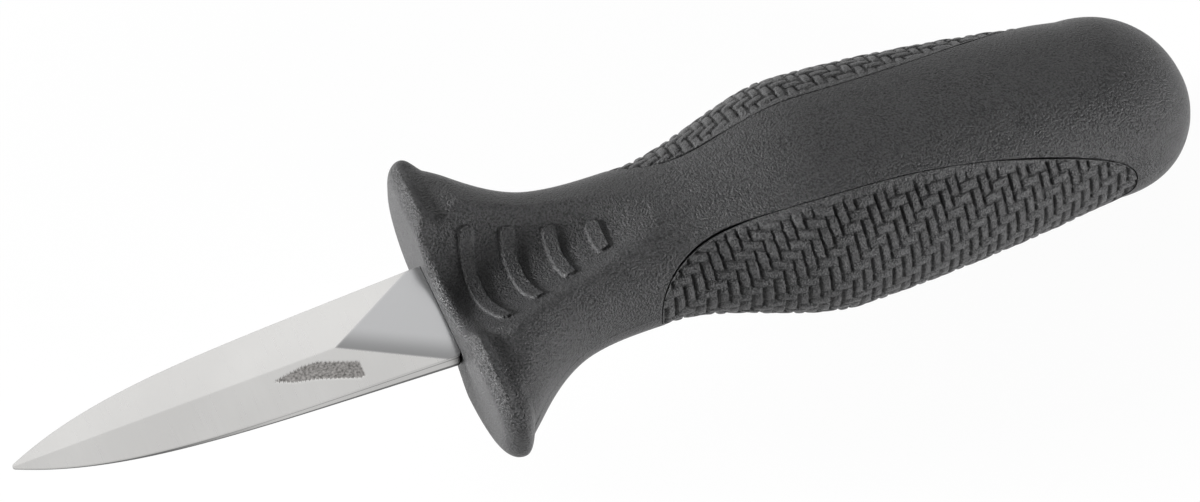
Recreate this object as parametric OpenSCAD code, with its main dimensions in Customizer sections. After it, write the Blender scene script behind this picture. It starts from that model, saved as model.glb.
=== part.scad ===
// Oyster knife: a stiff lancet blade in a moulded handle with a flared guard,
// hollowed thumb rests with raised ribs and a grip panel let into each side.
// X runs from the blade's tip to the pommel, Y across the blade, Z up through its flat.
// The origin lies under the middle of the knife, on the surface that it rests on.
// The working coordinates of the modules put X = 0 at the guard's front face and Z = 0 in the blade's mid plane.

/* [Blade] */
// Length of the blade in front of the guard
blade_len = 59; // [50:1:75]
// Width of the blade where it meets the guard
blade_w = 14.6; // [13:0.2:17]
// Thickness of the blade stock
blade_t = 2.4; // [1.8:0.1:3]
// Radius of the blade's two shoulder corners
shoulder_r = 0.6; // [0.4:0.1:2.5]
// How quickly the outline fills out behind the tip
leaf_power = 5; // [3:0.1:6]
// Share of the half width that the curve gives, the rest being a straight taper
leaf_share = 0.77; // [0.7:0.01:0.95]
// Distance from the guard to the point where the ground ridge ends
ridge_stop = 14.4; // [10:0.2:20]
// Angle between the ridge and the line where each ground face starts
grind_angle = 29.5; // [25:0.5:40]
// Radius of the blunted tip, seen from above
tip_r = 0.5; // [0.2:0.1:0.8]
// Half of the thickness that is left at the tip
tip_half_t = 0.15; // [0.08:0.01:0.3]

/* [Tang] */
// Length of the tang inside the handle
tang_len = 46; // [42:1:60]
// Width of the tang
tang_w = 10; // [8:0.5:11.5]
// Diameter of the two locking holes through the tang
tang_hole_d = 4; // [3:0.2:5]
// Distance from the guard's face to the first locking hole
tang_hole_x = 24; // [22:1:26]
// Distance between the two locking holes
tang_hole_gap = 14; // [10:1:14]

/* [Guard] */
// Width across the two lobes of the guard
guard_w = 44.3; // [36:0.1:50]
// Height of the guard
guard_h = 18; // [15.5:0.1:20]
// Thickness of the guard's lobes from front to back
lobe_t = 4.9; // [4.5:0.1:7]
// Radius that rounds the guard's front rim
rim_r = 2.6; // [1.5:0.1:2.8]
// Amount that the rounding takes off the back corner of each lobe
lobe_back_round = 2.1; // [0:0.1:2.4]
// Squareness of the guard's section, where 2 is an ellipse
guard_power = 3.2; // [2.4:0.1:4]
// Length over which the guard's section passes into the neck's
web_run = 14; // [8:0.5:20]
// Distance from the guard's face to the bottom of the valley behind its rim
valley_x = 2.8; // [2.2:0.1:3.2]
// Length of the slope from the rim down into that valley
valley_front = 1.4; // [1:0.1:2]
// Length of the slope behind it
valley_rear = 4.5; // [2:0.1:6]
// Depth of that valley
valley_depth = 1.2; // [0:0.1:1.5]
// Length over which the valley fades out towards the tips of the lobes
valley_fade = 3.5; // [2:0.5:8]
// Height of the rim above the blade's mid plane at the middle of its dip
dip_floor = 3.8; // [3.4:0.1:5]
// Radius of the dip across the rim
dip_r = 9; // [6:0.5:14]
// Radius that rounds the rim's edge in the dip
dip_edge = 1.2; // [0.6:0.1:1.4]
// Length over which the dip's edge falls back to the thumb rest's floor
dip_run = 2; // [1.5:0.1:3]
// Width of the flat middle of the guard's face
seat_w = 18; // [16.5:0.5:24]
// Distance that the tips of the lobes are swept back from that flat
face_bow = 0.8; // [0:0.1:2]
// Clearance above and below the blade in the slot behind its shoulders
slot_gap = 0.2; // [0.1:0.05:0.5]
// Depth of the slot
slot_depth = 1.2; // [0.8:0.1:2]

/* [Handle] */
// Length of the handle from the guard's front face to the end of the pommel
handle_len = 106; // [100:1:120]
// Distance from the guard's face to the narrowest part of the neck
neck_x = 28; // [25:0.5:30]
// Width of the neck
neck_w = 22.3; // [20:0.1:25]
// Height of the neck
neck_h = 16.2; // [15:0.1:18]
// How sharply the neck flares out into the guard
flare_power = 3.5; // [2.5:0.1:4]
// Distance from the guard's face to the widest part of the belly
belly_x = 53; // [48:0.5:60]
// Width of the belly
belly_w = 33.4; // [30:0.2:37]
// Height of the belly
belly_h = 25; // [23:0.5:29]
// Distance from the guard's face to the middle of the pommel
pommel_x = 92.2; // [88:0.2:96]
// Width of the pommel
pommel_w = 25.1; // [24:0.1:30]
// Height of the pommel
pommel_h = 21.4; // [19:0.1:25]
// How slowly the belly starts to narrow towards the pommel
taper_power = 1.6; // [1.2:0.1:2.2]
// Bluntness of the pommel's end, where 2 is a half round
end_power = 2.25; // [2:0.05:3]
// How far the end of the handle lies below the line of the blade
droop = 7.9; // [0:0.1:10]
// Squareness of the handle's section, where 2 is an ellipse
section_power = 2.2; // [2:0.1:2.8]

/* [Thumb rests] */
// Distance from the guard's face to the front of each thumb rest's floor
rest_x = 4; // [3.6:0.1:6]
// Length of each thumb rest
rest_len = 25; // [20:0.2:30]
// Height of each thumb rest's floor above the blade's mid plane at its front
rest_floor = 3; // [2.4:0.1:4]
// How slowly that floor starts to rise towards the neck
rest_power = 1.9; // [1.2:0.1:2.6]
// Radius of the hollow across each thumb rest
rest_r = 6.8; // [5:0.1:9]
// Distance from the middle where that curve passes into straight side walls
wall_y = 5; // [3:0.1:8]
// Softness of the crests on both sides of each thumb rest
crest_soft = 1.2; // [0.4:0.1:2.4]

/* [Thumb ribs] */
// Number of ribs across each thumb rest
rib_count = 4; // [2:1:5]
// Distance from the guard's face to the middle of the first rib
rib_x = 5; // [4.6:0.1:7]
// Distance from one rib to the next
rib_pitch = 5.6; // [4:0.1:6.4]
// Width of a rib
rib_w = 2.1; // [1.2:0.1:2.6]
// Height of a rib above the floor
rib_h = 0.45; // [0.3:0.05:1]
// Radius that the ribs are curved to, seen from above
rib_r = 17.6; // [12:0.2:30]
// Length of the first rib, across the handle
first_rib_len = 15; // [10:0.2:16]
// Length of the last rib
last_rib_len = 4.8; // [4:0.2:8]

/* [Grip panels] */
// Distance from the guard's face to the nose of each panel
panel_x = 26.3; // [25:0.1:30]
// Length of each panel
panel_len = 67.5; // [60:0.5:68]
// Share of the handle's half height that a panel covers at its tallest
panel_share = 0.91; // [0.7:0.01:0.93]
// Length over which the nose of a panel rounds up to its full height
nose_len = 18; // [12:0.5:24]
// Distance from a panel's nose to where its height starts to fall
panel_waist = 22; // [18:0.5:30]
// Thickness of each panel
panel_t = 1.8; // [1.2:0.1:2.4]
// Clearance round and behind each panel
panel_gap = 0.03; // [0.02:0.01:0.1]

/* [Core] */
// Distance from the guard's face to the front of the core
core_x = 21; // [20:0.5:21.5]
// Length of the core
core_len = 57; // [52:1:61]
// Width of the core
core_w = 14; // [13:0.5:15]
// Height of the core
core_h = 8; // [7:0.5:8]
// Distance between the core's locking grooves
groove_pitch = 15; // [12:1:20]
// Width of a locking groove
groove_w = 4; // [2:0.5:6]
// Depth of a locking groove
groove_depth = 0.8; // [0.4:0.1:1.2]
// Clearance between the core and the outer moulding
core_gap = 0.04; // [0.02:0.01:0.1]

/* [Hidden] */
// Points round each handle section
section_points = 56;
// Steps along the handle at its rim, in the valley, along the neck and belly and round the pommel's end
rim_steps = 5;
valley_steps = 9;
neck_steps = 16;
belly_steps = 18;
end_steps = 8;
// Points along each edge of the blade
edge_points = 24;
// Sides of the drawn circle of each locking hole
hole_sides = 48;
// Steps along and across each grip panel
panel_steps = 26;
panel_rows = 12;
// Steps along each thumb rib
rib_steps = 8;
// Size of cutting blocks that only have to reach past the part
reach = 200;
// Overlap that keeps cuts clean
over = 1;
// Share of its size that the handle keeps at its rear end, so that the last ring has an area
end_cap = 0.06;

function smooth(t) = t * t * (3 - 2 * t);
function clamp(t) = max(0, min(1, t));
function mix(a, b, t) = a + (b - a) * t;
function signed_power(v, p) = sign(v) * pow(abs(v), p);
// Least of two heights with a rounded change over a band of width k
function soft_min(a, b, k) = let (t = clamp(0.5 + (b - a) / (2 * k))) mix(b, a, t) - k * t * (1 - t);

// Front of the handle: rounded edges of radius r, the change from guard to neck and the flare of the lobes
function rim_loss(x, r) = x < r ? r - sqrt(r * r - pow(r - x, 2)) : 0;
function web(x) = smooth(clamp((x - rim_r) / web_run));
function flare(x) = pow(clamp((neck_x - x) / (neck_x - lobe_t)), flare_power);
function back_loss(x) =
    lobe_back_round * (x < lobe_t ? pow(clamp((x - rim_r) / (lobe_t - rim_r)), 2) : pow(flare(x), 2));

// Rear of the handle: neck, belly and the rounded pommel
function end_share(x) =
    sqrt(max(end_cap * end_cap, 1 - pow(clamp((x - pommel_x) / (handle_len - pommel_x)), end_power)));
function rear_size(x, neck, belly, pommel) =
    x < belly_x ? mix(neck, belly, smooth((x - neck_x) / (belly_x - neck_x)))
    : mix(belly, pommel, pow(clamp((x - belly_x) / (pommel_x - belly_x)), taper_power)) * end_share(x);

function half_w(x) =
    x < neck_x ? mix(neck_w, guard_w, flare(x)) / 2 - rim_loss(x, rim_r) - back_loss(x)
    : rear_size(x, neck_w, belly_w, pommel_w) / 2;
function half_h(x) =
    x < neck_x ? mix(guard_h, neck_h, web(x)) / 2 - rim_loss(x, rim_r)
    : rear_size(x, neck_h, belly_h, pommel_h) / 2;
function power_at(x) = mix(guard_power, section_power, web(x));

// Centre line of the handle, which leaves the blade's plane gently and sinks by droop at the pommel's end
droop_ease = 1.6;
function centre_z(x) =
    -droop * smooth(clamp((x - lobe_t) / (handle_len - lobe_t)) / droop_ease) / smooth(1 / droop_ease);

// How far a point of the guard at y is swept back behind its flat middle
function sweep_back(x, y) =
    face_bow * pow(clamp((abs(y) - seat_w / 2) / (guard_w / 2 - seat_w / 2)), 2) * clamp(1 - x / lobe_t);

// Depth of the valley behind the guard's rim
valley_start = valley_x - valley_front;
function valley(x, y) =
    valley_depth
    * smooth(clamp(x < valley_x ? (x - valley_start) / valley_front : 1 - (x - valley_x) / valley_rear))
    * smooth(clamp((guard_w / 2 - abs(y)) / valley_fade));

// Height of a thumb rest's floor above the centre line, which runs out at its rear end
rest_exit = 30;
function rest_rise(x) =
    let (t = (x - rest_x) / rest_len)
    mix(rest_floor, neck_h / 2, pow(max(0, t), rest_power)) + rest_exit * max(0, t - 1);
// Rise of a thumb rest's side walls at distance y from the middle
function wall_rise(y) =
    abs(y) < wall_y ? y * y / (2 * rest_r) : wall_y * (abs(y) - wall_y / 2) / rest_r;
// Hollow of a thumb rest, with the dip that it leaves in the guard's rim
function rest_height(x, y) =
    mix(
        dip_floor + y * y / (2 * dip_r) - rim_loss(x, dip_edge),
        rest_rise(x) + wall_rise(y),
        smooth(clamp((x - dip_edge) / dip_run))
    );

// Height of the handle's skin above the centre line at station x and distance y from the middle
function skin_height(x, y) =
    let (
        p = power_at(x),
        plain = half_h(x) * pow(max(0, 1 - pow(abs(y) / half_w(x), p)), 1 / p),
        cut = min(plain, valley(x, y))
    )
    max(0, soft_min(plain - cut, rest_height(x, y), crest_soft));
// Point of the handle's skin at station x and angle a
function skin_point(x, a) =
    let (y = half_w(x) * cos(a))
    [x + sweep_back(x, y), y, centre_z(x) + (a % 180 == 0 ? 0 : sign(sin(a)) * skin_height(x, y))];

// Stations along the handle: close together at the guard's rim and valley and at the pommel's end
valley_end = valley_x + valley_rear;
rim_stations = [for (i = [0 : rim_steps - 1]) valley_start * pow(i / rim_steps, 2)];
valley_stations = [for (i = [0 : valley_steps]) mix(valley_start, valley_end, i / valley_steps)];
neck_stations = [for (i = [1 : neck_steps]) mix(valley_end, neck_x, i / neck_steps)];
belly_stations = [for (i = [1 : belly_steps]) mix(neck_x, pommel_x, i / belly_steps)];
end_stations = [for (i = [1 : end_steps]) mix(pommel_x, handle_len, sin(90 * i / end_steps))];
stations = concat(rim_stations, valley_stations, neck_stations, belly_stations, end_stations);
rest_z = max([for (x = stations) half_h(x) - centre_z(x)]);

module placed() {
    translate([(blade_len - handle_len) / 2, 0, rest_z])
    children();
}

// Solid handle without its pockets: rings of points with a ruled cap at each end
module handle_skin() {
    rings = len(stations);
    n = section_points;
    points = [for (x = stations, i = [0 : n - 1]) skin_point(x, 360 * i / n)];
    sides = [for (j = [0 : rings - 2], i = [0 : n - 1])
        let (a = j * n + i, b = a + n, c = (j + 1) * n + (i + 1) % n, d = j * n + (i + 1) % n)
        each [[a, b, c], [a, c, d]]];
    front_tips = [[0, 1, n - 1], [n / 2 - 1, n / 2, n / 2 + 1]];
    front_rows = [for (i = [1 : n / 2 - 2]) [i, i + 1, n - i - 1, n - i]];
    front = concat(front_tips, front_rows);
    rear = [for (face = front) [for (k = [len(face) - 1 : -1 : 0]) face[k] + (rings - 1) * n]];
    polyhedron(points = points, faces = concat(sides, front, rear), convexity = 6);
}

// Leaf outline of the blade before its tip is blunted: from a sharp point, at t = 0, to the guard, at t = 1
function leaf(t) = blade_w / 2 * (leaf_share * (1 - pow(1 - t, leaf_power)) + (1 - leaf_share) * t);
// Angle of that point to one side, and the length that the blunting takes off it
tip_angle = atan(blade_w / 2 * (leaf_share * leaf_power + 1 - leaf_share) / blade_len);
tip_cut = tip_r / sin(tip_angle) - tip_r;
// How closely the outline's points crowd towards the tip
tip_crowding = 1.6;
arc_step = 15;

module blade_outline() {
    full_len = blade_len + tip_cut;
    steps = [for (i = [0 : edge_points]) pow(i / edge_points, tip_crowding) * full_len];
    edge_steps = [for (d = steps) if (d > tip_cut + tip_r && d < full_len - shoulder_r) d];
    edge = concat(
        [for (a = [0 : arc_step : 90 - tip_angle])
            [-blade_len + tip_r * (1 - cos(a)), tip_r * sin(a)]],
        [for (d = edge_steps) [d - full_len, leaf(d / full_len)]],
        [for (a = [0 : arc_step : 90])
            [-shoulder_r + shoulder_r * sin(a), leaf(1) - shoulder_r + shoulder_r * cos(a)]]
    );
    polygon(concat(edge, [for (i = [len(edge) - 1 : -1 : 1]) [edge[i][0], -edge[i][1]]]));
}

// Slope that brings the ground faces to tip_half_t at the tip
grind_run = (blade_len - ridge_stop) * sin(grind_angle);
grind_tilt = atan((blade_t / 2 - tip_half_t) / grind_run);

// Block above one ground face: it starts at the plunge line and sinks towards the tip
module ground_face() {
    translate([-ridge_stop, 0, blade_t / 2])
    rotate([0, 0, grind_angle])
    rotate([-grind_tilt, 0, 0])
    translate([-reach / 2, 0, 0])
    cube([reach, reach, reach]);
}

module blade() {
    color("silver")
    placed()
    difference() {
        union() {
            translate([0, 0, -blade_t / 2])
            linear_extrude(blade_t)
            blade_outline();
            translate([-shoulder_r, -tang_w / 2, -blade_t / 2])
            cube([tang_len + shoulder_r, tang_w, blade_t]);
        }
        for (side = [0, 1], face = [0, 1])
            mirror([0, side, 0])
            mirror([0, 0, face])
            ground_face();
        for (i = [0, 1])
            translate([tang_hole_x + i * tang_hole_gap, 0, -blade_t])
            cylinder(h = 2 * blade_t, d = tang_hole_d, $fn = hole_sides);
    }
}

// Bar with half-round sides that the core is cut from
module core_bar(x, length, grow = 0, fn = 64) {
    r = core_h / 2 + grow;
    translate([x, 0, 0])
    rotate([90, 0, 90])
    linear_extrude(length) {
        square([core_w - core_h, 2 * r], center = true);
        for (side = [-1, 1])
            translate([side * (core_w - core_h) / 2, 0])
            circle(r = r / cos(180 / fn), $fn = fn);
    }
}

module core_grooves(grow = 0) {
    for (x = [core_x + groove_pitch : groove_pitch : core_x + core_len - groove_w], face = [-1, 1])
        translate([x + grow, 0, face * (core_h / 2 + reach / 2 - groove_depth + grow)])
        translate([0, -reach / 2, -reach / 2])
        cube([groove_w - 2 * grow, reach, reach]);
}

module handle_core() {
    color([0.2, 0.2, 0.21])
    placed() {
        difference() {
            core_bar(core_x, core_len);
            translate([0, -tang_w / 2, -blade_t / 2])
            cube([tang_len, tang_w, blade_t]);
            core_grooves();
        }
        for (i = [0, 1])
            translate([tang_hole_x + i * tang_hole_gap, 0, -blade_t / 2])
            cylinder(h = blade_t, d = tang_hole_d, $fn = hole_sides);
    }
}

// Share of the handle's half height that a grip panel covers at station x, and the powers that shape its two ends
nose_power = 4;
nose_bluntness = 0.4;
back_power = 3;
back_bluntness = 0.42;
function panel_cover(x) =
    let (
        nose = clamp((x - panel_x) / nose_len),
        back = clamp((x - panel_x - panel_waist) / (panel_len - panel_waist))
    )
    panel_share
    * pow(1 - pow(1 - nose, nose_power), nose_bluntness)
    * pow(1 - pow(back, back_power), back_bluntness);

// Point of a grip panel's surface: t runs from -1 to 1 across it, and out is the distance from the skin
function panel_point(x, t, cover, out) =
    let (
        p = power_at(x),
        w = half_w(x),
        h = half_h(x),
        a = t * asin(pow(min(1, cover), p / 2)),
        y = w * pow(cos(a), 2 / p),
        z = h * signed_power(sin(a), 2 / p),
        n = [pow(y / w, p - 1) / w, signed_power(z / h, p - 1) / h],
        q = [y, z] + out * n / norm(n)
    )
    [x, q[0], q[1] + centre_z(x)];

// Share that a panel still covers at its tips, so that they have an area
tip_cover = 0.05;

// Curved slab that follows the handle's side, grown on all sides to cut the pocket of a panel
module panel_slab(grow, outside) {
    rows = panel_rows + 1;
    layer = (panel_steps + 1) * rows;
    spans = [for (j = [0 : panel_steps]) (1 - cos(180 * j / panel_steps)) / 2];
    points = [for (out = [outside, -panel_t - grow], s = spans, i = [0 : panel_rows])
        let (
            x = panel_x + panel_len * s,
            cover = max(tip_cover, panel_cover(x)) + grow / half_h(x)
        )
        panel_point(x + grow * (2 * s - 1), 2 * i / panel_rows - 1, cover, out)];
    outer = [for (j = [0 : panel_steps - 1], i = [0 : panel_rows - 1])
        let (a = j * rows + i) each [[a, a + rows, a + rows + 1], [a, a + rows + 1, a + 1]]];
    inner = [for (f = outer) [f[2] + layer, f[1] + layer, f[0] + layer]];
    rim = concat(
        [for (j = [0 : panel_steps]) j * rows],
        [for (i = [1 : panel_rows]) panel_steps * rows + i],
        [for (j = [panel_steps - 1 : -1 : 0]) j * rows + panel_rows],
        [for (i = [panel_rows - 1 : -1 : 1]) i]
    );
    walls = [for (k = [0 : len(rim) - 1])
        let (a = rim[k], b = rim[(k + 1) % len(rim)])
        each [[a, b + layer, b], [a, a + layer, b + layer]]];
    polyhedron(points = points, faces = concat(outer, inner, walls), convexity = 6);
}

module left_grip_panel() {
    color([0.17, 0.17, 0.18])
    placed()
    mirror([0, 1, 0])
    panel_slab(0, 0);
}

module right_grip_panel() {
    color([0.17, 0.17, 0.18])
    placed()
    panel_slab(0, 0);
}

// Short block of a thumb rib at distance y from the middle, seated in the floor and tilted with it
rib_slice = 0.1;
module rib_block(i, y, face) {
    x = rib_x + i * rib_pitch + y * y / (2 * rib_r);
    slope = atan((rest_rise(x + rib_w / 2) - rest_rise(x - rib_w / 2)) / rib_w);
    translate([x, y, centre_z(x) + face * (skin_height(x, y) + rib_h / 2 - over / 2)])
    rotate([0, -face * slope, -atan(y / rib_r)])
    cube([rib_w, rib_slice, rib_h + over], center = true);
}

module thumb_ribs(face) {
    for (i = [0 : rib_count - 1])
        let (half = mix(first_rib_len, last_rib_len, i / (rib_count - 1)) / 2)
        for (k = [0 : rib_steps - 1])
            hull() {
                rib_block(i, mix(-half, half, k / rib_steps), face);
                rib_block(i, mix(-half, half, (k + 1) / rib_steps), face);
            }
}

module handle_body() {
    color([0.23, 0.23, 0.24])
    placed()
    difference() {
        union() {
            handle_skin();
            thumb_ribs(1);
            thumb_ribs(-1);
        }
        translate([-over, -blade_w / 2, -blade_t / 2 - slot_gap])
        cube([slot_depth + over, blade_w, blade_t + 2 * slot_gap]);
        translate([0, -tang_w / 2, -blade_t / 2])
        cube([core_x + over, tang_w, blade_t]);
        difference() {
            core_bar(core_x - core_gap, core_len + 2 * core_gap, core_gap);
            core_grooves(core_gap);
        }
        for (side = [0, 1])
            mirror([0, side, 0])
            panel_slab(panel_gap, over);
    }
}

blade();
handle_core();
handle_body();
left_grip_panel();
right_grip_panel();
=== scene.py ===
import math

import bpy
import numpy as np
from mathutils import Matrix, Vector


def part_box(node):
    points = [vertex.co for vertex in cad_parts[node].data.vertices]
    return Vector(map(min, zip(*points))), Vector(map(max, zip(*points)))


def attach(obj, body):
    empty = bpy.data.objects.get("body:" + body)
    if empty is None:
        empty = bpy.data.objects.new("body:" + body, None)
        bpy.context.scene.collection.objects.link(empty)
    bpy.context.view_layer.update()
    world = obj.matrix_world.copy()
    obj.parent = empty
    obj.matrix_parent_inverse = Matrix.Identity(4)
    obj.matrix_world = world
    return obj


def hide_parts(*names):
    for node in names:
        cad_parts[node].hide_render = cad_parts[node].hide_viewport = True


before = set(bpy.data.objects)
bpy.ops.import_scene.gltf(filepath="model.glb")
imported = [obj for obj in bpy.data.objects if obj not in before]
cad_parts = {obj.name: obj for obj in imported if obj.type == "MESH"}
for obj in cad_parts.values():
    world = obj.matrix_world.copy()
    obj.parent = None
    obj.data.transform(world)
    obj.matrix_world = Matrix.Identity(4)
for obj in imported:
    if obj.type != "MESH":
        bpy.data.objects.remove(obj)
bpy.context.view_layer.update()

MM = 0.001
BODY_LOW, BODY_HIGH = [np.array(p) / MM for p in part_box("handle_body")]
BLADE_LOW, BLADE_HIGH = [np.array(p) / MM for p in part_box("blade")]

# Working coordinates in millimetres, as in the construction: x runs from the guard's face to the pommel,
# y across the blade and z up from the blade's mid plane
FACE_X = BODY_LOW[0]
BLADE_Z = (BLADE_LOW[2] + BLADE_HIGH[2]) / 2
BLADE_LEN = FACE_X - BLADE_LOW[0]
BLADE_W = BLADE_HIGH[1] - BLADE_LOW[1]
BLADE_T = BLADE_HIGH[2] - BLADE_LOW[2]
HANDLE_LEN = BODY_HIGH[0] - FACE_X
GUARD_W = BODY_HIGH[1] - BODY_LOW[1]

# Blade
LEAF_POWER = 5.0
LEAF_SHARE = 0.77
SHOULDER_R = 0.6
TIP_R = 0.5
RIDGE_STOP = 14.4
GRIND_ANGLE = math.radians(29.5)
TIP_HALF_T = 0.15
TANG_LEN = 46.0
TANG_W = 10.0
TIP_ANGLE = math.atan(BLADE_W / 2 * (LEAF_SHARE * LEAF_POWER + 1 - LEAF_SHARE) / BLADE_LEN)
TIP_CUT = TIP_R / math.sin(TIP_ANGLE) - TIP_R

# Guard
GUARD_H = 18.0
LOBE_T = 4.9
RIM_R = 2.6
LOBE_BACK_ROUND = 2.1
GUARD_POWER = 3.2
WEB_RUN = 14.0
VALLEY_X = 2.8
VALLEY_FRONT = 1.4
VALLEY_REAR = 4.5
VALLEY_DEPTH = 1.2
VALLEY_FADE = 3.5
DIP_FLOOR = 3.8
DIP_R = 9.0
DIP_EDGE = 1.2
DIP_RUN = 2.0
SEAT_W = 18.0
FACE_BOW = 0.8
SLOT_GAP = 0.2
SLOT_DEPTH = 1.2

# Handle
NECK_X = 28.0
NECK_W = 22.3
NECK_H = 16.2
FLARE_POWER = 3.5
BELLY_X = 53.0
BELLY_W = 33.4
BELLY_H = 25.0
POMMEL_X = 92.2
POMMEL_W = 25.1
POMMEL_H = 21.4
TAPER_POWER = 1.6
END_POWER = 2.25
DROOP = 7.9
DROOP_EASE = 1.6
SECTION_POWER = 2.2

# Thumb rests and their ribs
REST_X = 4.0
REST_LEN = 25.0
REST_FLOOR = 3.0
REST_POWER = 1.9
REST_R = 6.8
WALL_Y = 5.0
REST_EXIT = 30.0
RIB_FADE = 0.1
CREST_SOFT = 0.9
RIB_COUNT = 4
RIB_X = 5.0
RIB_PITCH = 5.6
RIB_W = 2.1
RIB_H = 0.42
RIB_R = 17.6
FIRST_RIB_LEN = 15.0
LAST_RIB_LEN = 4.8
RIB_EDGE = 0.22
RIB_CORNER = 0.8

# Grip panels and their weave
PANEL_X = 26.3
PANEL_LEN = 67.5
PANEL_END = PANEL_X + PANEL_LEN
PANEL_SHARE = 0.91
NOSE_LEN = 18.0
NOSE_POWER = 4
NOSE_BLUNTNESS = 0.4
PANEL_WAIST = 22.0
BACK_POWER = 3
BACK_BLUNTNESS = 0.42
PANEL_T = 1.8
GROOVE = 0.11
EDGE_R = 0.25
YARN = 1.42
WEAVE_DEPTH = 0.48

# The groove round a panel is full up to here behind the nose and before the rear, and then fades out over
# these runs
NOSE_GROOVE = 8.0
NOSE_GROOVE_FADE = 10.0
REAR_GROOVE = 10.0
REAR_GROOVE_FADE = 12.0
# Share of it that is left between, and the widths over which the weave sinks into the border there and at
# the two ends
BORDER_LEAST = 0.2
BORDER_FADE = 2.6
BORDER_END_FADE = 0.3

# The photograph's frame and the camera that matches it
FRAME_W = 1200
CAMERA_DISTANCE = 1.0
CAMERA_AZIMUTH = math.radians(-112.72)
CAMERA_ELEVATION = math.radians(58.31)
CAMERA_TARGET = Vector((22.7 + FACE_X, 1.0, BLADE_Z)) * MM
PIXELS_PER_MM = 7.70
SENSOR_MM = 36.0


def smooth(t):
    return t * t * (3 - 2 * t)


def clamp(t):
    return np.clip(t, 0.0, 1.0)


def mix(a, b, t):
    return a + (b - a) * t


def signed_power(v, p):
    return np.sign(v) * np.abs(v) ** p


def soft_min(a, b, k):
    t = clamp(0.5 + (b - a) / (2 * k))
    return mix(b, a, t) - k * t * (1 - t)


# Profile of the handle, with the construction's own formulas


def rim_loss(x, r):
    inside = np.maximum(0.0, r ** 2 - np.maximum(0.0, r - x) ** 2)
    return np.where(x < r, r - np.sqrt(inside), 0.0)


def web(x):
    return smooth(clamp((x - RIM_R) / WEB_RUN))


def flare(x):
    return clamp((NECK_X - x) / (NECK_X - LOBE_T)) ** FLARE_POWER


def back_loss(x):
    before = clamp((x - RIM_R) / (LOBE_T - RIM_R)) ** 2
    return LOBE_BACK_ROUND * np.where(x < LOBE_T, before, flare(x) ** 2)


def end_share(x):
    t = clamp((x - POMMEL_X) / (HANDLE_LEN - POMMEL_X))
    return np.sqrt(np.maximum(0.0, 1 - t ** END_POWER))


def rear_size(x, neck, belly, pommel):
    front = mix(neck, belly, smooth(clamp((x - NECK_X) / (BELLY_X - NECK_X))))
    back = mix(belly, pommel, clamp((x - BELLY_X) / (POMMEL_X - BELLY_X)) ** TAPER_POWER) * end_share(x)
    return np.where(x < BELLY_X, front, back)


def half_w(x):
    front = mix(NECK_W, GUARD_W, flare(x)) / 2 - rim_loss(x, RIM_R) - back_loss(x)
    return np.where(x < NECK_X, front, rear_size(x, NECK_W, BELLY_W, POMMEL_W) / 2)


def half_h(x):
    front = mix(GUARD_H, NECK_H, web(x)) / 2 - rim_loss(x, RIM_R)
    return np.where(x < NECK_X, front, rear_size(x, NECK_H, BELLY_H, POMMEL_H) / 2)


def power_at(x):
    return mix(GUARD_POWER, SECTION_POWER, web(x))


def centre_z(x):
    t = clamp((x - LOBE_T) / (HANDLE_LEN - LOBE_T)) / DROOP_EASE
    return -DROOP * smooth(t) / smooth(1 / DROOP_EASE)


def sweep_back(x, y):
    t = clamp((np.abs(y) - SEAT_W / 2) / (GUARD_W / 2 - SEAT_W / 2))
    return FACE_BOW * t ** 2 * clamp(1 - x / LOBE_T)


def valley(x, y):
    """Depth of the valley behind the guard's rim."""
    slope = np.where(x < VALLEY_X, 1 - (VALLEY_X - x) / VALLEY_FRONT, 1 - (x - VALLEY_X) / VALLEY_REAR)
    return VALLEY_DEPTH * smooth(clamp(slope)) * smooth(clamp((GUARD_W / 2 - np.abs(y)) / VALLEY_FADE))


def wall_rise(y):
    out = np.abs(y)
    return np.where(out < WALL_Y, y * y / (2 * REST_R), WALL_Y * (out - WALL_Y / 2) / REST_R)


def rest_height(x, y):
    """Hollow of a thumb rest, with the dip that it leaves in the guard's rim."""
    t = (x - REST_X) / REST_LEN
    rise = mix(REST_FLOOR, NECK_H / 2, np.maximum(0.0, t) ** REST_POWER) + REST_EXIT * np.maximum(0.0, t - 1)
    dip = DIP_FLOOR + y * y / (2 * DIP_R) - rim_loss(x, DIP_EDGE)
    return mix(dip, rise + wall_rise(y), smooth(clamp((x - DIP_EDGE) / DIP_RUN)))


def rib_relief(x, y):
    relief = np.zeros_like(x)
    for i in range(RIB_COUNT):
        half = mix(FIRST_RIB_LEN, LAST_RIB_LEN, i / (RIB_COUNT - 1)) / 2
        along = x - RIB_X - i * RIB_PITCH - y * y / (2 * RIB_R)
        beside = np.maximum(0.0, np.abs(along) - RIB_W / 2 + RIB_CORNER)
        beyond = np.maximum(0.0, np.abs(y) - half + RIB_CORNER)
        inside = RIB_CORNER - np.hypot(beside, beyond)
        relief = np.maximum(relief, RIB_H * smooth(clamp(inside / RIB_EDGE)))
    return relief


def section(x, angle):
    """Point of the plain section at station x, as y and height over the centre line, and its normal."""
    p = power_at(x)
    w = np.maximum(half_w(x), 1e-3)
    h = np.maximum(half_h(x), 1e-3)
    y = w * signed_power(np.cos(angle), 2 / p)
    z = h * signed_power(np.sin(angle), 2 / p)
    ny = signed_power(y / w, p - 1) / w
    nz = signed_power(z / h, p - 1) / h
    length = np.maximum(np.hypot(ny, nz), 1e-9)
    return y, z, ny / length, nz / length


def panel_cover(x):
    nose = clamp((x - PANEL_X) / NOSE_LEN)
    back = clamp((x - PANEL_X - PANEL_WAIST) / (PANEL_LEN - PANEL_WAIST))
    front = (1 - (1 - nose) ** NOSE_POWER) ** NOSE_BLUNTNESS
    return PANEL_SHARE * front * (1 - back ** BACK_POWER) ** BACK_BLUNTNESS


def beside_panel(x):
    return (x >= PANEL_X) & (x <= PANEL_END)


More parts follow.
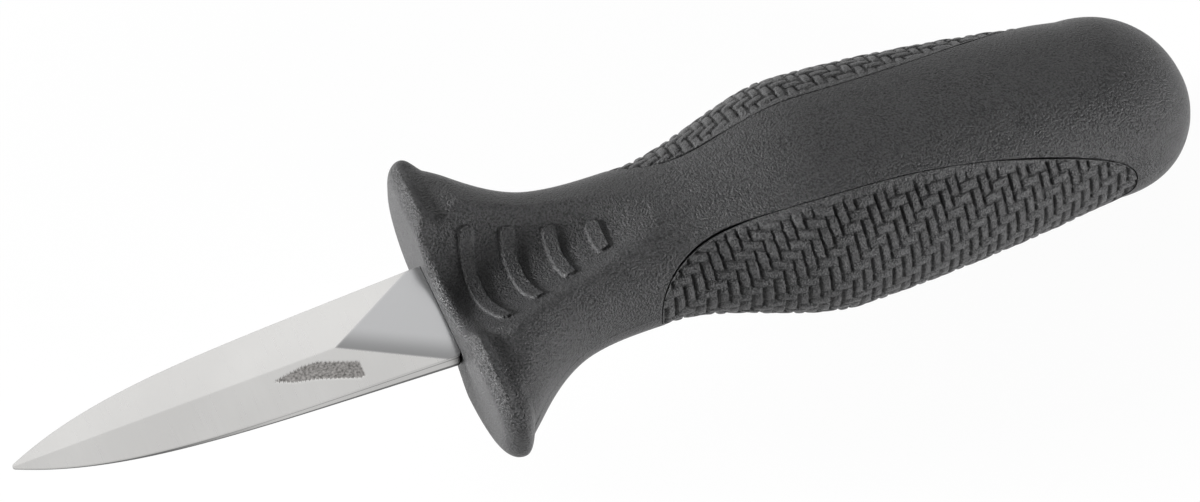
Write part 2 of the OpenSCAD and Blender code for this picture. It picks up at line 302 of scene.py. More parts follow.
def border_share(x):
    """Share of its full size that the groove round a grip panel has at station x."""
    from_nose = clamp((x - PANEL_X - NOSE_GROOVE) / NOSE_GROOVE_FADE)
    from_rear = clamp((PANEL_END - REAR_GROOVE - x) / REAR_GROOVE_FADE)
    return 1 - (1 - BORDER_LEAST) * smooth(from_nose) * smooth(from_rear)


def cover_angle(x, cover):
    return np.arcsin(clamp(cover) ** (power_at(x) / 2))


# Meshes


def grid_quads(rows, columns, first=0, wrap=False):
    """Quads of a grid of points stored row by row; wrap joins the last column to the first."""
    j, i = np.meshgrid(np.arange(rows - 1), np.arange(columns if wrap else columns - 1), indexing="ij")
    here = j * columns
    after = here + columns
    following = (i + 1) % columns
    return np.stack([here + i, here + following, after + following, after + i], -1).reshape(-1, 4) + first


WELD_DISTANCE = 0.002


def make_piece(name, points, quads, material, node, sharp, values=None):
    """A mesh from points in working millimetres, welded and standing for a CAD node. Its edges of more than
    sharp degrees stay sharp, and values holds a number for each point under each name."""
    placed = (np.asarray(points) + [FACE_X, 0, BLADE_Z]) * MM
    mesh = bpy.data.meshes.new(name)
    mesh.from_pydata(placed.tolist(), [], quads.tolist())
    for key, numbers in (values or {}).items():
        mesh.attributes.new(key, "FLOAT", "POINT").data.foreach_set("value", numbers)
    piece = bpy.data.objects.new(name, mesh)
    bpy.context.scene.collection.objects.link(piece)
    weld = piece.modifiers.new("weld", "WELD")
    weld.merge_threshold = WELD_DISTANCE * MM
    depsgraph = bpy.context.evaluated_depsgraph_get()
    welded = bpy.data.meshes.new_from_object(piece.evaluated_get(depsgraph))
    piece.modifiers.clear()
    piece.data = welded
    welded.name = name
    welded.polygons.foreach_set("use_smooth", [True] * len(welded.polygons))
    welded.materials.clear()
    welded.materials.append(material)
    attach(piece, "root")
    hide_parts(node)
    welded.set_sharp_from_angle(angle=math.radians(sharp))


def edge_sink(distance, radius):
    """Depth that a rounded edge of that radius takes off at a distance from the edge."""
    inside = np.maximum(0.0, radius ** 2 - np.maximum(0.0, radius - distance) ** 2)
    return np.where(distance < radius, radius - np.sqrt(inside), 0.0)


# Least distance between two stations of the handle, and its stations round the rim, over the rest, beside the
# panels and round the end
LEAST_STEP = 0.02
RIM_STATIONS = 14
REST_START = 0.3
REST_STEP = 0.15
REST_STOP = PANEL_X - 0.1
BESIDE_STEP = 0.35
END_STATIONS = 34
# Length and stations of a grip panel's two tips
PANEL_TIP = 2.0
PANEL_TIP_STATIONS = 16


def spaced(stations):
    """The stations without those that lie too close behind another."""
    kept = [stations[0]]
    for x in stations[1:]:
        if x - kept[-1] >= LEAST_STEP:
            kept.append(x)
    kept[-1] = stations[-1]
    return np.array(kept)


def panel_stations(step):
    """Stations along a grip panel, closer together towards its tips."""
    near_tip = PANEL_TIP * np.linspace(0, 1, PANEL_TIP_STATIONS) ** 2
    middle = np.arange(PANEL_X + PANEL_TIP, PANEL_END - PANEL_TIP, step)
    return np.concatenate([PANEL_X + near_tip, middle[1:], PANEL_END - near_tip[::-1]])


def body_stations():
    rim = RIM_R * (1 - np.cos(np.linspace(0, np.pi / 2, RIM_STATIONS)))
    rest = np.arange(REST_START, REST_STOP, REST_STEP)
    end = np.sin(np.linspace(0, np.pi / 2, END_STATIONS))
    behind = mix(PANEL_END, HANDLE_LEN, end)
    before = spaced(np.unique(np.concatenate([rim, rest, [PANEL_X]])))
    return np.concatenate([before, panel_stations(BESIDE_STEP)[1:], behind[1:]])


# Distances of the first columns from the strip's edge, which draw together where the strip is narrower
# than this
EDGE_COLUMNS = np.array([0, 0.06, 0.13, 0.2, 0.28, 0.4, 0.6])
NARROW_STRIP = 6.0
# The other columns, how much they crowd towards the middle, and the distance from the edge that they
# are given
STRIP_COLUMNS = 150
CROWDING = 0.5
FAR_OFF = 9.0
# Number of angles at which the length across the strip is measured
STRIP_SAMPLES = 721


def strip_angles(x):
    """Angles across the smooth strip on one face of the handle, and their distances from its edges."""
    start = np.where(beside_panel(x), cover_angle(x, panel_cover(x)), 0.0)
    share = np.linspace(0, 1, STRIP_SAMPLES)
    crowded = np.linspace(0, 1, STRIP_COLUMNS)
    crowded = (crowded + CROWDING * np.sin(2 * np.pi * crowded) / (2 * np.pi))[1:-1]
    rows = []
    for station, first in zip(x, start):
        angles = mix(first, math.pi - first, share)
        y, z = section(station, angles)[:2]
        run = np.concatenate([[0], np.cumsum(np.hypot(np.diff(y), np.diff(z)))])
        near = EDGE_COLUMNS * min(1.0, run[-1] / NARROW_STRIP)
        places = np.concatenate([near, mix(near[-1], run[-1] - near[-1], crowded), run[-1] - near[::-1]])
        rows.append(np.interp(places, run, angles))
    far = np.full(crowded.size, FAR_OFF)
    return np.array(rows), np.concatenate([EDGE_COLUMNS, far, EDGE_COLUMNS[::-1]])


def handle_point(x, y, z):
    return np.stack(np.broadcast_arrays(x + sweep_back(x, y), y, z + centre_z(x)), -1)


# Height and width of the mould's parting line, which starts behind the rim over this run
PARTING_H = 0.05
PARTING_W = 0.3
PARTING_RUN = 2.0


def body_strip(x, face):
    """Smooth strip of the handle on its upper face, 1, or lower face, -1, with its thumb rest and ribs."""
    angles, distance = strip_angles(x)
    x = x[:, None]
    y, z, ny, nz = section(x, angles)
    plain = z - np.minimum(z, valley(x, y))
    hollow = rest_height(x, y)
    in_rest = clamp((plain - hollow) / RIB_FADE)
    z = np.maximum(0.0, soft_min(plain, hollow, CREST_SOFT)) + rib_relief(x, y) * in_rest
    seam = -PARTING_H * smooth(clamp(1 - distance / PARTING_W)) * clamp((x - RIM_R) / PARTING_RUN)
    sink = np.where(beside_panel(x), edge_sink(distance, EDGE_R * border_share(x)), seam)
    return handle_point(x, y - ny * sink, face * (z - nz * sink))


# Depth of a pocket below its panel, points across its floor, and depth of the row halfway down its walls
POCKET_GAP = 0.1
FLOOR_COLUMNS = 12
WALL_DEPTH = 1.0


def body_pocket(x, side):
    """Walls and floor of the pocket that a grip panel lies in, on the side of +y, 1, or -y, -1."""
    start = cover_angle(x, panel_cover(x))[:, None]
    floor = np.linspace(1, -1, FLOOR_COLUMNS)[1:-1]
    turns = np.concatenate([np.ones(3), floor, -np.ones(3)])
    x = x[:, None]
    lip = EDGE_R * border_share(x)
    depths = np.full((x.size, turns.size), PANEL_T + POCKET_GAP)
    depths[:, :1] = lip
    depths[:, -1:] = lip
    depths[:, [1, -2]] = WALL_DEPTH
    y, z, ny, nz = section(x, start * turns)
    return handle_point(x, side * (y - ny * depths), z - nz * depths)


# Squareness of the slot's outline, depth of its edge and rows of the face round it
SLOT_POWER = 8
SLOT_EDGE = 0.08
FACE_ROWS = 16


def guard_face(x, face):
    """Face of the guard from its rim to the blade's slot, and the slot's walls and floor."""
    angles = strip_angles(np.array([x[0]]))[0][0]
    rim = body_strip(x[:1], face)[0]
    slot_y = BLADE_W / 2 * signed_power(np.cos(angles), 1 / SLOT_POWER)
    slot_z = face * (BLADE_T / 2 + SLOT_GAP) * signed_power(np.sin(angles), 1 / SLOT_POWER)
    rows = []
    for t in np.linspace(0, 1, FACE_ROWS):
        y = mix(rim[:, 1], slot_y, t)
        z = mix(rim[:, 2], slot_z, t)
        rows.append(np.stack([sweep_back(0.0, y), y, z], -1))
    for depth in (SLOT_EDGE, SLOT_DEPTH):
        rows.append(np.stack([np.full_like(slot_y, depth), slot_y, slot_z], -1))
    rows.append(np.stack([np.full_like(slot_y, SLOT_DEPTH), slot_y, np.zeros_like(slot_z)], -1))
    return np.array(rows)


def join_grids(grids):
    points = []
    quads = []
    count = 0
    for grid, flip in grids:
        rows, columns = grid.shape[:2]
        part = grid_quads(rows, columns, count)
        quads.append(part[:, ::-1] if flip else part)
        points.append(grid.reshape(-1, 3))
        count += rows * columns
    return np.concatenate(points), np.concatenate(quads)


def build_handle_body(material):
    x = body_stations()
    panel = x[beside_panel(x)]
    grids = [(body_strip(x, 1), True), (body_strip(x, -1), False)]
    grids += [(body_pocket(panel, 1), False), (body_pocket(panel, -1), True)]
    grids += [(guard_face(x, 1), False), (guard_face(x, -1), True)]
    points, quads = join_grids(grids)
    make_piece("handle_shell", points, quads, material, "handle_body", sharp=50)


# Factors that scatter whole numbers, and where they start
SCATTER_I = 12.9898
SCATTER_J = 78.233
SCATTER_SIZE = 43758.5453
SEED = 7


def scatter(i, j):
    """The same number from 0 to 1 for each pair of whole numbers."""
    value = np.sin(i * SCATTER_I + j * SCATTER_J + SEED) * SCATTER_SIZE
    return value - np.floor(value)


# Width of the slopes round a float of the weave, and how far it steps down on its two shallow sides
WALL_W = 0.33
SIDE_STEP = 0.4
# How much a float falls towards its ends and sides, and how much one float's height differs from another's
END_CROWN = 0.32
SIDE_CROWN = 0.2
FLOAT_CHANGE = 0.2


def weave_relief(along, down):
    """Height, from 0 to 1, of a two-by-two twill of flat raised floats at a place on the panel."""
    u = along / YARN
    v = down / YARN
    i = np.floor(u)
    j = np.floor(v)
    phase = (i + j) % 4
    lengthways = phase < 2
    first = np.where(lengthways, phase, phase - 2)
    along_float = np.abs(first + np.where(lengthways, u - i, v - j) - 1)
    across_float = np.abs(2 * np.where(lengthways, v - j, u - i) - 1)
    to_end = (1 - along_float) * YARN
    to_side = (1 - across_float) * YARN / 2
    to_wall = np.where(lengthways, to_end, to_side)
    to_step = np.where(lengthways, to_side, to_end)
    wall = smooth(clamp(to_wall / WALL_W))
    step = 1 - SIDE_STEP * (1 - smooth(clamp(to_step / WALL_W)))
    crown = 1 - END_CROWN * along_float ** 2 - SIDE_CROWN * across_float ** 2
    own_i = np.where(lengthways, i - first, i)
    own_j = np.where(lengthways, j, j - first)
    return wall * step * crown * (1 - FLOAT_CHANGE + FLOAT_CHANGE * scatter(own_i, own_j))


PANEL_STEP = 0.15
PANEL_COLUMNS = 220
PANEL_BACK_COLUMNS = 10


def build_grip_panel(name, side, material):
    """Woven panel with its relief, its rounded border and its closed back. side is 1 for +y and -1 for -y."""
    outline_x = panel_stations(PANEL_STEP)
    outline_b = panel_cover(outline_x) * half_h(outline_x)
    dx = np.gradient(outline_x)
    db = np.gradient(outline_b)
    length = np.hypot(dx, db)
    share = border_share(outline_x)
    x = outline_x + GROOVE * share * db / length
    b = np.maximum(0.0, outline_b - GROOVE * share * dx / length)
    b[0] = b[-1] = 0.0
    reach = cover_angle(x, b / half_h(x))[:, None]
    x = x[:, None]
    t = np.linspace(-1, 1, PANEL_COLUMNS)
    y, z, ny, nz = section(x, reach * t)
    steps = np.hypot(np.diff(y, axis=1), np.diff(z, axis=1))
    arc = np.concatenate([np.zeros((len(x), 1)), np.cumsum(steps, axis=1)], axis=1)
    arc -= arc[:, -1:] / 2
    border = (arc[:, -1:] - np.abs(arc)) * (dx / length)[:, None]
    share = share[:, None]
    fade = smooth(clamp(border / mix(BORDER_FADE, BORDER_END_FADE, share)))
    low = (1 - weave_relief(x, -arc)) * fade
    sink = edge_sink(border, EDGE_R * share) + WEAVE_DEPTH * low
    front = handle_point(x, side * (y - ny * sink), z - nz * sink)
    back_t = np.linspace(1, -1, PANEL_BACK_COLUMNS)
    y, z, ny, nz = section(x, reach * back_t)
    back = handle_point(x, side * (y - ny * PANEL_T), z - nz * PANEL_T)
    grid = np.concatenate([front, back], axis=1)
    height = np.concatenate([1 - low, np.zeros(back.shape[:2])], axis=1)
    quads = grid_quads(grid.shape[0], grid.shape[1], wrap=True)
    if side < 0:
        quads = quads[:, ::-1]
    node = "left_grip_panel" if side < 0 else "right_grip_panel"
    make_piece(name, grid.reshape(-1, 3), quads, material, node, sharp=75,
               values={"height": height.ravel()})


# Blade

# Width of the chamfer along the blade's edges, at most this share of the half width, its slope, and the least
# half height that it leaves of the side
ARRIS = 0.12
ARRIS_SHARE = 0.3
ARRIS_SLOPE = 0.8
LEAST_SIDE = 0.03
# Difference in height within which the ridge and the plunge lines are softened
RIDGE_SOFT = 0.004
# Heights of the lines along the blade's sides, as shares of the sides' half height, and how dark the painted
# shade on each one is
SIDE_STEPS = np.array([1.0, 0.82, 0.7, 0.58, -0.45, -0.6, -1.0])
SIDE_SHADE = np.array([0.0, 0.0, 1.0, 0.0, 0.0, 1.0, 1.0])
# Towards the tip the painted shade on these lines darkens from this station on, over this length, up to these
# shares
TIP_DARK_X = -25.0
TIP_DARK_RUN = 15.0
TIP_DARK_SHARES = np.array([0.2, 1, 1, 1, 1, 1, 1])
# Width and strength of the painted shade on the flat beside the near plunge line
PLUNGE_SHADE_W = 3.5
PLUNGE_SHADE = 0.65
# Depth below the flat at which a place counts as ground
FLAT_DEPTH = 0.01
# Points across the blade, length and stations of its tip, steps of its middle and of its finer rear, and
# stations of its shoulders and its tang
BLADE_COLUMNS = 101
TIP_PART = 12.0
TIP_STATIONS = 60
TIP_CROWDING = 1.6
MIDDLE_GAP = 0.2
MIDDLE_STEP = 0.25
REAR_X = -26.0
REAR_STEP = 0.12
SHOULDER_STATIONS = 12
TANG_STATIONS = [0.001, 10, 20, 30, TANG_LEN]


def blade_half_width(x):
    """Leaf outline with its blunted tip and shoulders, and the tang behind it."""
    behind = np.maximum(0.0, x + BLADE_LEN)
    t = clamp((behind + TIP_CUT) / (BLADE_LEN + TIP_CUT))
    leaf = BLADE_W / 2 * (LEAF_SHARE * (1 - (1 - t) ** LEAF_POWER) + (1 - LEAF_SHARE) * t)
    round_tip = np.sqrt(np.maximum(0.0, TIP_R ** 2 - (TIP_R - np.minimum(behind, TIP_R)) ** 2))
    leaf = np.where(behind < TIP_R * (1 - math.sin(TIP_ANGLE)), round_tip, leaf)
    corner = np.sqrt(np.maximum(0.0, SHOULDER_R ** 2 - np.maximum(0.0, x + SHOULDER_R) ** 2)) - SHOULDER_R
    return np.where(x > 0, TANG_W / 2, leaf + np.where(x > -SHOULDER_R, corner, 0.0))


def blade_half_thickness(x, y):
    run = (BLADE_LEN - RIDGE_STOP) * math.sin(GRIND_ANGLE)
    slope = (BLADE_T / 2 - TIP_HALF_T) / run
    behind = -(x + RIDGE_STOP) * math.sin(GRIND_ANGLE)
    left = BLADE_T / 2 - slope * (behind + y * math.cos(GRIND_ANGLE))
    right = BLADE_T / 2 - slope * (behind - y * math.cos(GRIND_ANGLE))
    ground = soft_min(left, right, RIDGE_SOFT)
    return soft_min(ground, np.full_like(ground, BLADE_T / 2), RIDGE_SOFT)


# Corners of the patch of raw steel that the grinding left on the near face, as x and y
RAW_PATCH = np.array([
    (-23.9, -1.5), (-19.7, -0.85), (-17.6, -0.97), (-12.5, -3.0),
    (-12.5, -5.3), (-13.2, -5.4), (-18.5, -3.4), (-21.5, -2.7),
])
# Depth of that patch, width of its slope and size of the teeth of its border
RAW_DEPTH = 0.03
RAW_EDGE = 0.1
RAW_TEETH = 0.16


def inside_patch(x, y):
    """Distance inside the raw patch, negative outside, with a ragged border."""
    ragged = y + RAW_TEETH * np.sin(7 * x) * np.sin(19 * x + 1)
    best = np.full(x.shape, 1e9)
    inside = np.zeros(x.shape, bool)
    for a, b in zip(RAW_PATCH, np.roll(RAW_PATCH, -1, axis=0)):
        edge = b - a
        share = clamp(((x - a[0]) * edge[0] + (ragged - a[1]) * edge[1]) / edge.dot(edge))
        best = np.minimum(best, np.hypot(x - a[0] - share * edge[0], ragged - a[1] - share * edge[1]))
        crosses = (a[1] > ragged) != (b[1] > ragged)
        turn = a[0] + (ragged - a[1]) * edge[0] / (edge[1] if edge[1] else 1e-9)
        inside ^= crosses & (x < turn)
    return np.where(inside, best, -best)


def build_blade(material):
    x = np.concatenate([
        -BLADE_LEN + TIP_PART * np.linspace(0, 1, TIP_STATIONS) ** TIP_CROWDING,
        np.arange(-BLADE_LEN + TIP_PART + MIDDLE_GAP, REAR_X, MIDDLE_STEP),
        np.arange(REAR_X, -SHOULDER_R, REAR_STEP),
        -SHOULDER_R + SHOULDER_R * np.sin(np.linspace(0, np.pi / 2, SHOULDER_STATIONS)),
        TANG_STATIONS,
    ])[:, None]
    across = np.linspace(-1, 1, BLADE_COLUMNS)
    half = blade_half_width(x)
    chamfer = np.minimum(ARRIS, half * ARRIS_SHARE)
    y = (half - chamfer) * across
    z = blade_half_thickness(x, y)
    patch = clamp(inside_patch(np.broadcast_to(x, y.shape), y) / RAW_EDGE)
    top = np.stack([np.broadcast_to(x, y.shape), y, z - RAW_DEPTH * patch], -1)
    bottom = np.stack([np.broadcast_to(x, y.shape), y, -z], -1)[:, ::-1]
    rim_z = np.maximum(LEAST_SIDE, blade_half_thickness(x, half) - chamfer * ARRIS_SLOPE)
    side_z = rim_z * SIDE_STEPS
    side_y = np.broadcast_to(half, side_z.shape)
    side_x = np.broadcast_to(x, side_z.shape)
    right_rim = np.stack([side_x, side_y, side_z], -1)
    left_rim = np.stack([side_x, -side_y, side_z], -1)[:, ::-1]
    grid = np.concatenate([top, right_rim, bottom, left_rim], axis=1)
    closing = grid[-1:] * [1, 0, 0]
    grid = np.concatenate([grid, closing])
    quads = grid_quads(grid.shape[0], grid.shape[1], wrap=True)
    raw = np.zeros(grid.shape[:2])
    raw[:-1, :across.size] = patch
    plain = np.zeros(grid.shape[:2])
    flat_here = clamp(1 - (BLADE_T / 2 - z) / FLAT_DEPTH)
    underside = slice(across.size + SIDE_STEPS.size, 2 * across.size + SIDE_STEPS.size)
    plain[:-1, :across.size] = flat_here
    plain[:-1, underside] = flat_here[:, ::-1]
    # Painted shade on the blade, kept as a value at each point
    painted_shade = np.zeros(grid.shape[:2])
    towards_tip = clamp((TIP_DARK_X - x) / TIP_DARK_RUN) * TIP_DARK_SHARES
    edge_shade = np.maximum(SIDE_SHADE, towards_tip)
    edge_shade = np.concatenate([edge_shade, edge_shade[-1:]])
    # Painted shade along the blade's sides: dark lines, darker towards the tip
    painted_shade[:, across.size:across.size + SIDE_STEPS.size] = edge_shade
    painted_shade[:, 2 * across.size + SIDE_STEPS.size:] = edge_shade[:, ::-1]
    from_plunge = (x + RIDGE_STOP) * math.sin(GRIND_ANGLE) + y * math.cos(GRIND_ANGLE)
    # Painted shade on the flat, strongest at the near plunge line
    painted_shade[:-1, :across.size] = PLUNGE_SHADE * smooth(clamp(1 - from_plunge / PLUNGE_SHADE_W)) * flat_here
    make_piece("ground_blade", grid.reshape(-1, 3), quads, material, "blade", sharp=20,
               values={"raw": raw.ravel(), "flat": plain.ravel(), "painted_shade": painted_shade.ravel()})


# Materials


def new_material(name, colour, roughness, metallic=0.0):
    material = bpy.data.materials.new(name)
    material.use_nodes = True
    shader = material.node_tree.nodes["Principled BSDF"]
    shader.inputs["Base Color"].default_value = (*colour, 1)
    shader.inputs["Roughness"].default_value = roughness
    shader.inputs["Metallic"].default_value = metallic
    return material, material.node_tree.nodes, material.node_tree.links, shader


def noise(nodes, links, scale, detail, stretch=(1, 1, 1)):
    """Noise in the part's own coordinates, in millimetres, that can be stretched along them."""
    place = nodes.new("ShaderNodeTexCoord")
    mapping = nodes.new("ShaderNodeMapping")
    mapping.inputs["Scale"].default_value = [s / MM for s in stretch]
    texture = nodes.new("ShaderNodeTexNoise")
    texture.inputs["Scale"].default_value = scale
    texture.inputs["Detail"].default_value = detail
    links.new(place.outputs["Object"], mapping.inputs["Vector"])
    links.new(mapping.outputs["Vector"], texture.inputs["Vector"])
    return texture.outputs["Fac"]


def spread(nodes, links, value, low, high, half=0.2):
    """Maps a noise value from half below and above its middle, 0.5, to low and high."""
    ramp = nodes.new("ShaderNodeMapRange")
    ramp.inputs["From Min"].default_value = 0.5 - half
    ramp.inputs["From Max"].default_value = 0.5 + half
    ramp.inputs["To Min"].default_value = low
    ramp.inputs["To Max"].default_value = high
    links.new(value, ramp.inputs["Value"])
    return ramp.outputs["Result"]


def colour_between(nodes, links, factor, first, second):
    """Blend of two colours, each given as numbers or as the output of a node."""
    blend = nodes.new("ShaderNodeMix")
    blend.data_type = "RGBA"
    for name, colour in (("A", first), ("B", second)):
        if isinstance(colour, tuple):
            blend.inputs[name].default_value = (*colour, 1)
        else:
            links.new(colour, blend.inputs[name])
    links.new(factor, blend.inputs["Factor"])
    return blend.outputs["Result"]


def number_between(nodes, links, factor, first, second):
    """Blend of the output of a node and a number."""
    blend = nodes.new("ShaderNodeMix")
    blend.inputs["B"].default_value = second
    links.new(factor, blend.inputs["Factor"])
    links.new(first, blend.inputs["A"])
    return blend.outputs["Result"]


def bump(nodes, links, height, distance):
    node = nodes.new("ShaderNodeBump")
    node.inputs["Distance"].default_value = distance * MM
    node.inputs["Strength"].default_value = 1.0
    links.new(height, node.inputs["Height"])
    return node.outputs["Normal"]


def stored_value(nodes, name):
    """Value that the mesh holds under that name at each point."""
    node = nodes.new("ShaderNodeAttribute")
    node.attribute_name = name
    return node.outputs["Fac"]


# Colours of the plastic's and the rubber's grain, in its pits and on its tops, and of the painted shade in
# the weave's pits
PLASTIC_TONES = ((0.005, 0.005, 0.0053), (0.038, 0.038, 0.039))
RUBBER_TONES = ((0.012, 0.012, 0.0125), (0.054, 0.054, 0.055))
WEAVE_SHADE_COLOUR = (0.009, 0.009, 0.0093)
# Roughness of that grain's pits and tops, and its height
PLASTIC_ROUGHNESS = (0.26, 0.46)
RUBBER_ROUGHNESS = (0.26, 0.44)
GRAIN_HEIGHT = 0.3
SPECULAR = 0.18
# Noise per millimetre of the grain and of its wider patches, how sharply pits and tops part, and the patches'
# share
GRAIN_SCALE = 3.6
PATCH_SCALE = 0.3
GRAIN_HALF = 0.1
PATCH_SHARE = 0.3


def grained(name, tones, roughness):
    """Matt black plastic or rubber with a moulded grain, darker in its pits. Also gives its final colour."""
    material, nodes, links, shader = new_material(name, tones[0], roughness[0])
    shader.inputs["Specular IOR Level"].default_value = SPECULAR
    grain = noise(nodes, links, GRAIN_SCALE, 4.0)
    patches = noise(nodes, links, PATCH_SCALE, 3.0)
    pits = colour_between(nodes, links, spread(nodes, links, grain, 0, 1, GRAIN_HALF), *tones)
    tone = colour_between(nodes, links, spread(nodes, links, patches, 0, PATCH_SHARE), pits, tones[1])
    links.new(tone, shader.inputs["Base Color"])
    links.new(spread(nodes, links, grain, *roughness), shader.inputs["Roughness"])
    links.new(bump(nodes, links, grain, GRAIN_HEIGHT), shader.inputs["Normal"])
    return material, tone


def moulded_plastic():
    return grained("moulded_plastic", PLASTIC_TONES, PLASTIC_ROUGHNESS)[0]


def grip_rubber():
    """Rubber with painted shade in the pits of its weave, which leaves the weave's tops paler."""
    material, tone = grained("grip_rubber", RUBBER_TONES, RUBBER_ROUGHNESS)
    nodes = material.node_tree.nodes
    links = material.node_tree.links
    # Painted shade: the weave's pits are darkened by height, and its tops keep the grain's colour
    weave_shading = colour_between(nodes, links, stored_value(nodes, "height"), WEAVE_SHADE_COLOUR, tone)
    links.new(weave_shading, nodes["Principled BSDF"].inputs["Base Color"])
    return material


# Colour, roughness, noise per millimetre and grain height of the core, which is hidden in the handle
CORE_COLOUR = (0.05, 0.05, 0.055)
CORE_ROUGHNESS = (0.45, 0.6)
CORE_SCALE = 1.5
CORE_GRAIN = 0.04


def core_plastic():
    material, nodes, links, shader = new_material("core_plastic", CORE_COLOUR, 0.5)
    grain = noise(nodes, links, CORE_SCALE, 2.0)
    links.new(spread(nodes, links, grain, *CORE_ROUGHNESS), shader.inputs["Roughness"])
    links.new(bump(nodes, links, grain, CORE_GRAIN), shader.inputs["Normal"])
    return material


# Colours of the ground faces and their softer patches, the flat, the raw patch, and the painted shade of the
# dark lines along the sides and beside the near plunge line
GROUND_COLOUR = (0.52, 0.515, 0.506)
SOFT_COLOUR = (0.49, 0.485, 0.477)
FLAT_COLOUR = (0.39, 0.392, 0.396)
RAW_COLOURS = ((0.085, 0.082, 0.079), (0.285, 0.275, 0.267))
PAINTED_SHADE_COLOUR = (0.12, 0.12, 0.12)
# Roughness of the ground faces along and between their strokes, of the flat and of the raw patch
GROUND_ROUGHNESS = (0.27, 0.31)
FLAT_ROUGHNESS = 0.2
RAW_ROUGHNESS = 0.6
# Noise of the strokes, which run across the blade, and their height
STROKE_STRETCH = (4.0, 0.12, 1.0)
STROKE_HEIGHT = 0.0002
SPECKLE_SCALE = 3.0
SOFT_SCALE = 0.09


def blade_steel():
    """Ground steel with a smoother flat, a patch of raw steel, and painted shade in dark lines along its
    sides and on the flat beside the near plunge line.
    """
    material, nodes, links, shader = new_material("blade_steel", GROUND_COLOUR, GROUND_ROUGHNESS[1], 1.0)
    raw = stored_value(nodes, "raw")
    flat = stored_value(nodes, "flat")
    strokes = noise(nodes, links, 1.0, 4.0, stretch=STROKE_STRETCH)
    speckle = spread(nodes, links, noise(nodes, links, SPECKLE_SCALE, 3.0), 0, 1)
    softness = spread(nodes, links, noise(nodes, links, SOFT_SCALE, 2.0), 0, 1)
    ground = colour_between(nodes, links, softness, GROUND_COLOUR, SOFT_COLOUR)
    finish = colour_between(nodes, links, flat, ground, FLAT_COLOUR)
    skin = colour_between(nodes, links, speckle, *RAW_COLOURS)
    surface = colour_between(nodes, links, raw, finish, skin)
    # Painted shade from the stored values darkens the colour towards this dark grey
    tone = colour_between(nodes, links, stored_value(nodes, "painted_shade"), surface, PAINTED_SHADE_COLOUR)
    links.new(tone, shader.inputs["Base Color"])
    along_strokes = spread(nodes, links, strokes, *GROUND_ROUGHNESS)
    polish = number_between(nodes, links, flat, along_strokes, FLAT_ROUGHNESS)
    links.new(number_between(nodes, links, raw, polish, RAW_ROUGHNESS), shader.inputs["Roughness"])
    links.new(bump(nodes, links, strokes, STROKE_HEIGHT), shader.inputs["Normal"])
    return material


# Camera, light and floor


def add_camera():
    towards = Vector((
        math.cos(CAMERA_ELEVATION) * math.cos(CAMERA_AZIMUTH),
        math.cos(CAMERA_ELEVATION) * math.sin(CAMERA_AZIMUTH),
        math.sin(CAMERA_ELEVATION),
    ))
    right = Vector((-math.sin(CAMERA_AZIMUTH), math.cos(CAMERA_AZIMUTH), 0))
    up = towards.cross(right)
    data = bpy.data.cameras.new("photo_camera")
    data.sensor_width = SENSOR_MM
    data.sensor_fit = "HORIZONTAL"
    data.lens = PIXELS_PER_MM * CAMERA_DISTANCE / MM * SENSOR_MM / FRAME_W
    data.clip_end = 10.0
    camera = bpy.data.objects.new("photo_camera", data)
    bpy.context.scene.collection.objects.link(camera)
    turn = Matrix((right, up, towards)).transposed().to_4x4()
    camera.matrix_world = Matrix.Translation(CAMERA_TARGET + towards * CAMERA_DISTANCE) @ turn
    bpy.context.scene.camera = camera


# Name, place and size in metres, and power in watts, of each lamp. All of them point at the origin.
LAMPS = (
    ("key", (-1.0, 0.32, 0.17), 0.32, 46),
    ("back", (0.2, 0.75, 0.78), 0.6, 0.5),
    ("far_side", (0.1, 1.0, 0.28), 0.8, 6),
    ("rear_side", (0.75, -0.65, 0.16), 0.3, 22),
)


def add_area_light(name, place, size, power):
    data = bpy.data.lights.new(name, "AREA")
    data.size = size
    data.energy = power
    light = bpy.data.objects.new(name, data)
    bpy.context.scene.collection.objects.link(light)
    light.location = place
    light.rotation_euler = (-Vector(place)).to_track_quat("-Z", "Y").to_euler()


def shows_white(nodes, links):
    """One for the rays that show the background: those from the camera, mirrors and glass."""
    path = nodes.new("ShaderNodeLightPath")
    seen = nodes.new("ShaderNodeMath")
    seen.operation = "MAXIMUM"
    links.new(path.outputs["Is Camera Ray"], seen.inputs[0])
    links.new(path.outputs["Is Glossy Ray"], seen.inputs[1])
    either = nodes.new("ShaderNodeMath")
    either.operation = "MAXIMUM"
    links.new(seen.outputs[0], either.inputs[0])
    links.new(path.outputs["Is Transmission Ray"], either.inputs[1])
    return either.outputs[0]


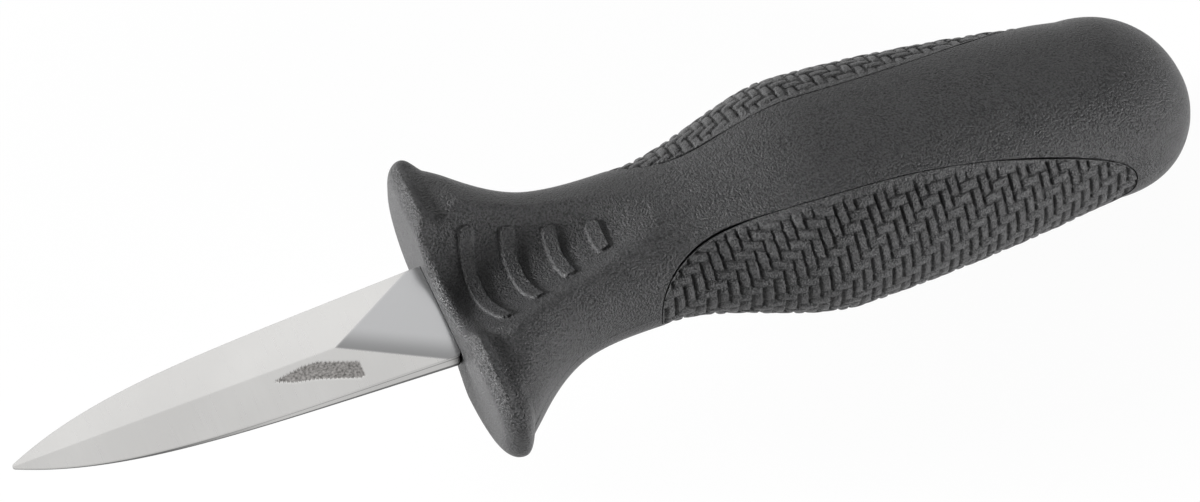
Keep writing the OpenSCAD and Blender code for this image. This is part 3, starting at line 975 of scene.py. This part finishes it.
# Half the floor's size in metres, and how far it shows as plain white. The rest is paper that takes a shadow.
FLOOR_HALF = 3.0
WHITE_SHARE = 0.95


def add_floor():
    corners = [(-FLOOR_HALF, -FLOOR_HALF, 0), (FLOOR_HALF, -FLOOR_HALF, 0),
               (FLOOR_HALF, FLOOR_HALF, 0), (-FLOOR_HALF, FLOOR_HALF, 0)]
    mesh = bpy.data.meshes.new("floor")
    mesh.from_pydata(corners, [], [(0, 1, 2, 3)])
    floor = bpy.data.objects.new("floor", mesh)
    bpy.context.scene.collection.objects.link(floor)
    material, nodes, links, shader = new_material("floor_paper", (0.8, 0.8, 0.8), 0.9)
    white = nodes.new("ShaderNodeEmission")
    blend = nodes.new("ShaderNodeMixShader")
    share = nodes.new("ShaderNodeMath")
    share.operation = "MULTIPLY"
    share.inputs[1].default_value = WHITE_SHARE
    links.new(shows_white(nodes, links), share.inputs[0])
    links.new(share.outputs[0], blend.inputs[0])
    links.new(shader.outputs[0], blend.inputs[1])
    links.new(white.outputs[0], blend.inputs[2])
    links.new(blend.outputs[0], nodes["Material Output"].inputs["Surface"])
    mesh.materials.append(material)


# Strength of the light from all round, which shows as white
WORLD_LIGHT = 0.14


def add_world():
    world = bpy.data.worlds.new("studio")
    bpy.context.scene.world = world
    world.use_nodes = True
    nodes = world.node_tree.nodes
    links = world.node_tree.links
    strength = nodes.new("ShaderNodeMapRange")
    strength.inputs["To Min"].default_value = WORLD_LIGHT
    strength.inputs["To Max"].default_value = 1.0
    links.new(shows_white(nodes, links), strength.inputs["Value"])
    links.new(strength.outputs["Result"], nodes["Background"].inputs["Strength"])
    nodes["Background"].inputs["Color"].default_value = (1, 1, 1, 1)


add_camera()
add_world()
add_floor()
for lamp in LAMPS:
    add_area_light(*lamp)

build_blade(blade_steel())
plastic = moulded_plastic()
rubber = grip_rubber()
build_handle_body(plastic)
build_grip_panel("right_grip", 1, rubber)
build_grip_panel("left_grip", -1, rubber)
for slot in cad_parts["handle_core"].material_slots:
    slot.material = core_plastic()

bpy.context.scene.view_settings.view_transform = "Standard"
